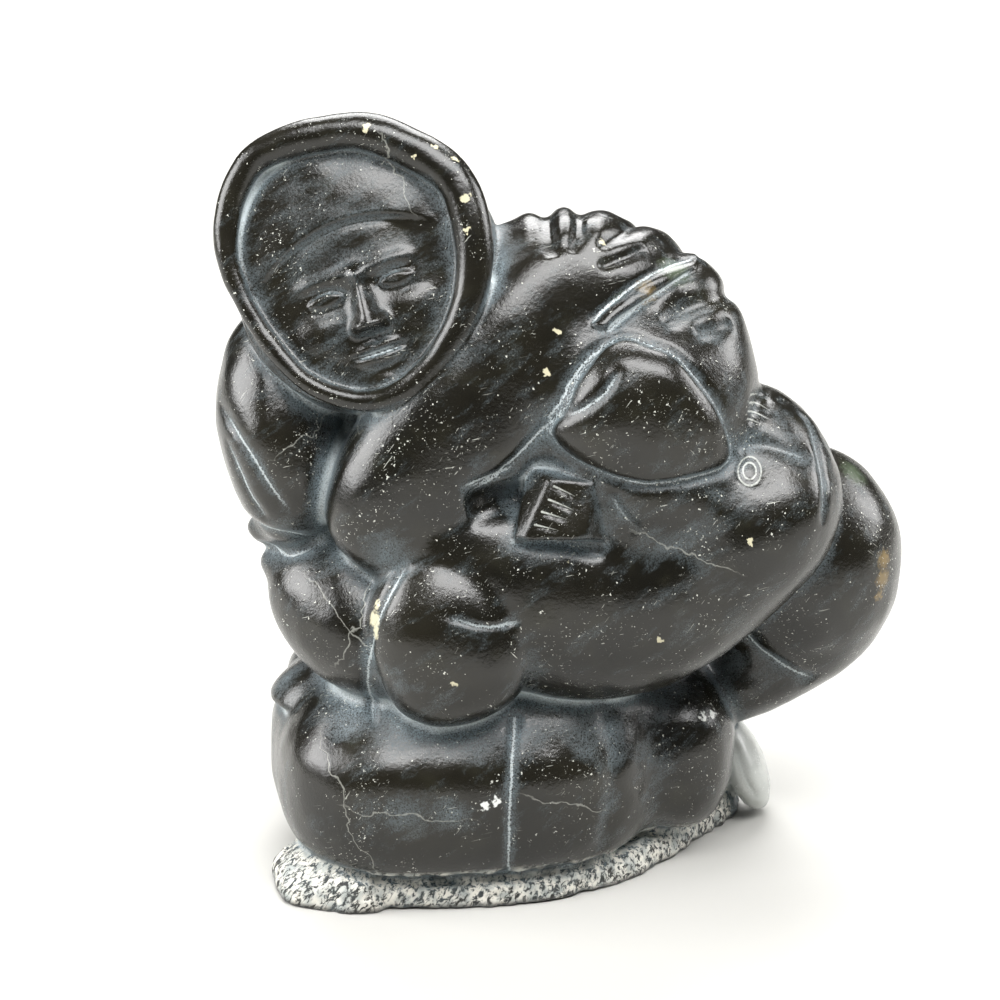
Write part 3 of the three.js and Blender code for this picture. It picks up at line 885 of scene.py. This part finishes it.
# Sizes of the stone's patterns, in mm.
CLOUDS, DRIFTS = 24, 8  # in the stone's colour
WAVER, RAG = 7, 1.3  # of the cracks' courses and of the flaws' edges
WEAR = 11  # places that were knocked more than others
SPECKS = 0.9  # real ones start at 0.1 mm and are drawn from about 0.3 mm, so that they show
GRIT = 0.4  # real stone dust is finer than 0.05 mm and is drawn this coarse, so that it shows
WIPES = (5.0, 5.0, 16.0)  # the streaks that the cloth left in the dust
BRUISES = (1.15, 1.15, 2.8)  # one stroke of the point
SHADES = 3.2  # paler and darker places of the bruised base
RIPPLE = 0.9  # the smallest unevenness under the wax

CRACK_HALF = (0.22, 0.08)  # half width of a hair crack at its edge and core, wider than real so that it shows
FLATTENED = 0.04  # share of the depth that counts in a thin cut, so that it is drawn as seen from the front
CLAW_FRONT, WHISKER_FRONT, EYE_FRONT = -43, -27, -36  # y of the skin at the thin cuts
SEAL_EYE_RINGS = (1.55, 2.75)  # radii


def in_frame(x, y, z):
    """A place given in the carving's measures, measured from the frame's origin instead."""
    return x - MIDDLE[0], y - MIDDLE[1], z


def combined(tree, values, operation="MAXIMUM"):
    """The highest of several values, or the lowest."""
    return functools.reduce(lambda a, b: node(tree, MATH, {0: a, 1: b}, operation=operation), values)


def closeness(tree, mm, places):
    """1 at the middle of the nearest of some places, 0 at its edge and less beyond."""
    near = []
    for x, y, z, radius in places:
        away = node(tree, VECTOR, {0: mm, 1: in_frame(x, y, z)}, out="Value", operation="DISTANCE")
        near.append(node(tree, MATH, {0: away, 1: -1 / radius, 2: 1.0}, operation="MULTIPLY_ADD"))
    return combined(tree, near)


def cracks(tree, mm):
    """The share of each point that lies on a hair crack."""
    lines = []
    for point, normal, reach in CRACKS:
        offset = node(tree, VECTOR, {0: mm, 1: in_frame(*point)}, operation="SUBTRACT")
        over = node(tree, VECTOR, {0: offset, 1: unit(normal).tolist()}, out="Value", operation="DOT_PRODUCT")
        gap = node(tree, MATH, {0: over}, operation="ABSOLUTE")
        away = node(tree, VECTOR, {0: offset}, out="Value", operation="LENGTH")
        thin = node(tree, RANGE, {"Value": gap, "From Min": CRACK_HALF[0], "From Max": CRACK_HALF[1]})
        here = node(tree, RANGE, {"Value": away, "From Min": reach, "From Max": reach * 0.6})
        lines.append(node(tree, MATH, {0: thin, 1: here}, operation="MULTIPLY"))
    return combined(tree, lines)


def cuts(tree, mm):
    """The thin bright cuts of claws, whiskers and eye, which are finer than the mesh."""
    flat = node(tree, VECTOR, {0: mm, 1: (1, FLATTENED, 1)}, operation="MULTIPLY")
    gaps = []
    lines = [(line, CLAW_FRONT) for line in CLAWS] + [(line, WHISKER_FRONT) for line in WHISKERS]
    for (start, end), front in lines:
        x, y, z = in_frame(start[0], front, start[1])
        way = Vector((end[0] - start[0], 0, end[1] - start[1]))
        per_length = way / way.length_squared
        offset = node(tree, VECTOR, {0: flat, 1: (x, FLATTENED * y, z)}, operation="SUBTRACT")
        along = node(tree, VECTOR, {0: offset, 1: per_length}, out="Value", operation="DOT_PRODUCT")
        along = node(tree, MATH, {0: along, 1: 1.0}, operation="MULTIPLY", use_clamp=True)
        foot_of = node(tree, VECTOR, {0: way, "Scale": along}, operation="SCALE")
        gap = node(tree, VECTOR, {0: offset, 1: foot_of}, out="Value", operation="DISTANCE")
        gaps.append(node(tree, MATH, {0: along, 1: 0.22, 2: gap}, operation="MULTIPLY_ADD"))
    x, y, z = in_frame(SEAL_EYE[0], EYE_FRONT, SEAL_EYE[1])
    for radius in SEAL_EYE_RINGS:
        away = node(tree, VECTOR, {0: flat, 1: (x, FLATTENED * y, z)}, out="Value", operation="DISTANCE")
        away = node(tree, MATH, {0: away, 1: radius}, operation="SUBTRACT")
        away = node(tree, MATH, {0: away}, operation="ABSOLUTE")
        gaps.append(node(tree, MATH, {0: away, 1: 0.06}, operation="ADD"))
    nearest = combined(tree, gaps, "MINIMUM")
    return node(tree, RANGE, {"Value": nearest, "From Min": 0.32, "From Max": 0.16})


def scratches(tree, mm):
    """The share of each point that lies on a scratch."""
    lines = []
    for turn, width, long, limit in SCRATCHES:
        sockets = {"Vector": mm, "Rotation": turn, "Scale": (width, width, long)}
        stretched = node(tree, MAPPING, sockets, vector_type="TEXTURE")
        streak = node(tree, NOISE, {"Vector": stretched, "Scale": 1.0, "Detail": 1.0})
        lines.append(node(tree, RANGE, {"Value": streak, "From Min": limit, "From Max": limit + 0.03}))
    return combined(tree, lines)


def uneven(tree, mm):
    """Two sets of shifted measures: ragged ones give flaws uneven edges, frayed ones make cracks wander."""
    shifts = []
    for size, strength, detail in ((RAG, 3.6, 3.0), (WAVER, 7.0, 2.0)):
        shift = node(tree, NOISE, {"Vector": mm, "Scale": 1 / size, "Detail": detail}, out="Color")
        shift = node(tree, VECTOR, {0: shift, 1: (-0.5, -0.5, -0.5)}, operation="ADD")
        shifts.append(node(tree, VECTOR, {0: shift, "Scale": strength}, operation="SCALE"))
    rag, waver = shifts
    ragged = node(tree, VECTOR, {0: mm, 1: rag}, operation="ADD")
    frayed = node(tree, VECTOR, {0: rag, "Scale": 0.3}, operation="SCALE")
    frayed = node(tree, VECTOR, {0: frayed, 1: waver}, operation="ADD")
    frayed = node(tree, VECTOR, {0: mm, 1: frayed}, operation="ADD")
    return ragged, frayed


def bare_stone(tree, mm, ragged):
    """The stone's own colour: cloudy dark greens and browns, with patches of green and ochre minerals."""
    cloud = node(tree, NOISE, {"Vector": mm, "Scale": 1 / CLOUDS, "Detail": 3.0})
    cloud = node(tree, RANGE, {"Value": cloud, "From Min": 0.35, "From Max": 0.65})
    colour = node(tree, MIX, {0: cloud, 6: linear("#12110c"), 7: linear("#1e1c15")}, out=2, data_type="RGBA")
    drift = node(tree, NOISE, {"Vector": mm, "Scale": 1 / DRIFTS, "Detail": 5.0})
    drift = node(tree, RANGE, {"Value": drift, "From Min": 0.55, "From Max": 0.8, "To Max": 0.6})
    colour = node(tree, MIX, {0: drift, 6: colour, 7: linear("#2d2c22")}, out=2, data_type="RGBA")
    for places, tint, most in ((GREEN_PATCHES, "#5d6a55", 0.5), (OCHRE_STAINS, "#8a7448", 0.65)):
        near = closeness(tree, ragged, places)
        near = node(tree, RANGE, {"Value": near, "From Min": 0.0, "From Max": 0.6, "To Max": most})
        colour = node(tree, MIX, {0: near, 6: colour, 7: linear(tint)}, out=2, data_type="RGBA")
    return colour


def dusted(tree, mm, ragged, masks, colour):
    """Adds the dust: a film that the cloth streaked, thicker in the valleys, and a white line down a crease.
    Gives the colour, the film and the dust's grain."""
    grit = node(tree, NOISE, {"Vector": mm, "Scale": 1 / GRIT, "Detail": 2.0, "Roughness": 0.7})
    sockets = {"Vector": mm, "Rotation": (0.3, 0.9, 0.3), "Scale": WIPES}
    stretched = node(tree, MAPPING, sockets, vector_type="TEXTURE")
    hazy = node(tree, NOISE, {"Vector": stretched, "Scale": 1.0, "Detail": 6.0, "Roughness": 0.68})
    lying = node(tree, MATH, {0: closeness(tree, ragged, DUST_PATCHES), 1: 0.0}, operation="MAXIMUM")
    for mask, most in ((masks["valley"], 0.7), (masks["bay"], 0.14), (masks["halo"], 0.25), (lying, 0.42)):
        hazy = node(tree, MATH, {0: mask, 1: most, 2: hazy}, operation="MULTIPLY_ADD")
    haze = node(tree, RANGE, {"Value": hazy, "From Min": 0.55, "From Max": 1.25})
    grain = node(tree, RANGE, {"Value": grit, "From Min": 0.36, "From Max": 0.6, "To Min": 0.1})
    film = node(tree, MATH, {0: haze, 1: grain}, operation="MULTIPLY")
    share = node(tree, MATH, {0: film, 1: 0.62}, operation="MULTIPLY")
    colour = node(tree, MIX, {0: share, 6: colour, 7: linear("#93a4ac")}, out=2, data_type="RGBA")

    away = node(tree, ATTRIBUTE, out="Vector", attribute_name="aside")
    away = node(tree, VECTOR, {0: away}, out="Value", operation="LENGTH")
    away = node(tree, MATH, {0: grit, 1: -1.1, 2: away}, operation="MULTIPLY_ADD")
    line = node(tree, RANGE, {"Value": away, "From Min": 0.0, "From Max": -0.35})
    line = node(tree, MATH, {0: line, 1: masks["halo"]}, operation="MULTIPLY")
    packed = node(tree, MATH, {0: grit, 1: 0.5, 2: masks["crease"]}, operation="MULTIPLY_ADD")
    packed = node(tree, MATH, {0: line, 1: 0.7, 2: packed}, operation="MULTIPLY_ADD")
    packed = node(tree, RANGE, {"Value": packed, "From Min": 0.58, "From Max": 1.1, "To Max": 0.85})
    colour = node(tree, MIX, {0: packed, 6: colour, 7: linear("#cdd6d8")}, out=2, data_type="RGBA")
    return colour, film, grain


def knocked(tree, mm, ragged, frayed, grain, colour):
    """Adds what shows pale: specks and scratches, in some places more than in others, hair cracks, thin cuts,
    flecks and chips. Gives the colour, and the marks that are sunk in the surface."""
    where = node(tree, NOISE, {"Vector": mm, "Scale": 1 / WEAR, "Detail": 3.0})
    specks = node(tree, NOISE, {"Vector": mm, "Scale": 1 / SPECKS, "Detail": 2.0, "Roughness": 0.6})
    specks = node(tree, MATH, {0: where, 1: 0.22, 2: specks}, operation="MULTIPLY_ADD")
    specks = node(tree, RANGE, {"Value": specks, "From Min": 0.815, "From Max": 0.84, "To Max": 0.85})
    worn = node(tree, RANGE, {"Value": where, "From Min": 0.45, "From Max": 0.62})
    lines = node(tree, MATH, {0: scratches(tree, mm), 1: worn}, operation="MULTIPLY")
    lines = node(tree, MATH, {0: lines, 1: 0.55}, operation="MULTIPLY")
    hairs = node(tree, MATH, {0: cracks(tree, frayed), 1: 0.26}, operation="MULTIPLY")
    marks = combined(tree, [specks, lines, hairs])
    colour = node(tree, MIX, {0: marks, 6: colour, 7: linear("#d9dad0")}, out=2, data_type="RGBA")
    broken = node(tree, RANGE, {"Value": grain, "To Min": 0.3, "To Max": 0.7})
    thin = node(tree, MATH, {0: cuts(tree, mm), 1: broken}, operation="MULTIPLY")
    colour = node(tree, MIX, {0: thin, 6: colour, 7: linear("#d3d6cf")}, out=2, data_type="RGBA")
    for places, tint in ((CREAM_FLECKS, "#cfc9ab"), (WHITE_CHIPS, "#eceeea")):
        near = closeness(tree, ragged, places)
        near = node(tree, RANGE, {"Value": near, "From Min": 0.25, "From Max": 0.45, "To Max": 0.92})
        colour = node(tree, MIX, {0: near, 6: colour, 7: linear(tint)}, out=2, data_type="RGBA")
    return colour, marks


def bruised(tree, mm, pecked, colour):
    """Adds the base as the point left it, pale on its high places and dark between. Gives the colour and the
    height of the bruises."""
    sockets = {"Vector": mm, "Rotation": (0.4, 0.5, 0.3), "Scale": BRUISES}
    stretched = node(tree, MAPPING, sockets, vector_type="TEXTURE")
    sockets = {"Vector": stretched, "Scale": 1.0, "Detail": 4.0, "Roughness": 0.68, "Distortion": 0.6}
    bruise = node(tree, NOISE, sockets)
    pale = node(tree, RANGE, {"Value": bruise, "From Min": 0.44, "From Max": 0.52, "To Max": 0.86})
    pale = node(tree, MATH, {0: pale, 1: pecked}, operation="MULTIPLY")
    shade = node(tree, NOISE, {"Vector": mm, "Scale": 1 / SHADES, "Detail": 2.0})
    shade = node(tree, RANGE, {"Value": shade, "From Min": 0.35, "From Max": 0.6})
    chalk = node(tree, MIX, {0: shade, 6: linear("#b3b8b4"), 7: linear("#efece1")}, out=2, data_type="RGBA")
    colour = node(tree, MIX, {0: pale, 6: colour, 7: chalk}, out=2, data_type="RGBA")
    return colour, node(tree, MATH, {0: bruise, 1: pecked}, operation="MULTIPLY")


def soapstone():
    """Soapstone, nearly black, cut with chisels, filed and rubbed smooth with wax. The eye sees broad soft
    lights on dark stone, white dust wherever the cloth didn't reach, and white specks where it was knocked.
    The base is left as the point bruised it, pale and dull."""
    material, tree = new_material("soapstone")
    place = node(tree, "ShaderNodeTexCoord", out="Object")
    mm = node(tree, VECTOR, {0: place, "Scale": 1 / MM}, operation="SCALE")
    masks = {
        name: node(tree, ATTRIBUTE, out="Fac", attribute_name=name)
        for name in ("crease", "valley", "bay", "halo", "pecked", "sole")
    }
    ragged, frayed = uneven(tree, mm)
    colour = bare_stone(tree, mm, ragged)
    colour, film, grain = dusted(tree, mm, ragged, masks, colour)
    colour, marks = knocked(tree, mm, ragged, frayed, grain, colour)
    colour, bruise = bruised(tree, mm, masks["pecked"], colour)

    # The sole of the left boot, coloured pale grey.
    share = node(tree, MATH, {0: masks["sole"], 1: 0.85}, operation="MULTIPLY")
    colour = node(tree, MIX, {0: share, 6: colour, 7: linear("#c6c9c5")}, out=2, data_type="RGBA")

    # Waxed stone is fairly smooth, and dust and bruises dull it.
    rough = node(tree, RANGE, {"Value": film, "From Max": 0.45, "To Min": 0.2, "To Max": 0.55})
    rough = node(tree, MATH, {0: masks["pecked"], 1: 0.4, 2: rough}, operation="MULTIPLY_ADD")
    rise = node(tree, NOISE, {"Vector": mm, "Scale": 1 / RIPPLE, "Detail": 4.0, "Roughness": 0.6})
    rise = node(tree, MATH, {0: marks, 1: -0.5, 2: rise}, operation="MULTIPLY_ADD")
    rise = node(tree, MATH, {0: bruise, 1: 5.0, 2: rise}, operation="MULTIPLY_ADD")
    bump = node(tree, "ShaderNodeBump", {"Height": rise, "Strength": 0.2, "Distance": 0.5 * MM}, out="Normal")
    shader = node(tree, PRINCIPLED, {"Base Color": colour, "Roughness": rough, "IOR": 1.56, "Normal": bump})
    node(tree, "ShaderNodeOutputMaterial", {"Surface": shader}, out=slice(0))
    return material


finished.materials.clear()
finished.materials.append(soapstone())
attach(whole, "root")
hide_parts("soapstone_carving")

# ---- floor, light and camera ------------------------------------------------------------------------------


def floor():
    """A smooth matt tabletop of a pale grey that the lights raise to white, wide enough to fill the view."""
    mesh = bpy.data.meshes.new("floor")
    half = 4.0  # metres
    corners = [(-half, -half, 0), (half, -half, 0), (half, half, 0), (-half, half, 0)]
    mesh.from_pydata(corners, [], [(0, 1, 2, 3)])
    table = bpy.data.objects.new("floor", mesh)
    bpy.context.scene.collection.objects.link(table)
    material, tree = new_material("pale_tabletop")
    shader = node(tree, PRINCIPLED, {"Base Color": linear("#b9b8b4"), "Roughness": 0.8})
    node(tree, "ShaderNodeOutputMaterial", {"Surface": shader}, out=slice(0))
    mesh.materials.append(material)


def soft_box(name, azimuth, height_angle, distance, size, power, target=(0, 0, 0.1)):
    """A soft light of a width and height in metres and a power in watts, at a distance from its target.
    Azimuth 0 is the front, and 90 the viewer's right."""
    a, h = math.radians(azimuth), math.radians(height_angle)
    way = Vector((math.sin(a) * math.cos(h), -math.cos(a) * math.cos(h), math.sin(h)))
    data = bpy.data.lights.new(name, "AREA")
    data.shape = "RECTANGLE"
    data.size, data.size_y = size
    data.energy = power
    box = bpy.data.objects.new(name, data)
    box.location = Vector(target) + way * distance
    box.rotation_euler = way.to_track_quat("Z", "Y").to_euler()
    bpy.context.scene.collection.objects.link(box)


floor()
soft_box("overhead", 15, 63, 1.1, (1.25, 0.6), 24)
soft_box("left", -86, 23, 1.1, (0.8, 0.65), 15)
soft_box("right", 105, 24, 1.1, (0.55, 0.55), 7)
soft_box("far_table", 180, 80, 1.7, (1.8, 1.8), 88, target=(0, 1.3, 0))

world = bpy.data.worlds.new("studio")
bpy.context.scene.world = world
world.use_nodes = True
world.node_tree.nodes["Background"].inputs[0].default_value = (1, 1, 1, 1)
world.node_tree.nodes["Background"].inputs[1].default_value = 0.06

EYE_POINT = (-14.0, -660.4, 305.6)  # where the viewer's eye is
TILT = 72  # degrees from straight down
camera_data = bpy.data.cameras.new("camera")
camera_data.lens = 100
camera_data.sensor_width = 36
camera = bpy.data.objects.new("camera", camera_data)
camera.location = [measure * MM for measure in in_frame(*EYE_POINT)]
camera.rotation_euler = (math.radians(TILT), 0, 0)
bpy.context.scene.collection.objects.link(camera)
bpy.context.scene.camera = camera
bpy.context.scene.view_settings.view_transform = "Standard"
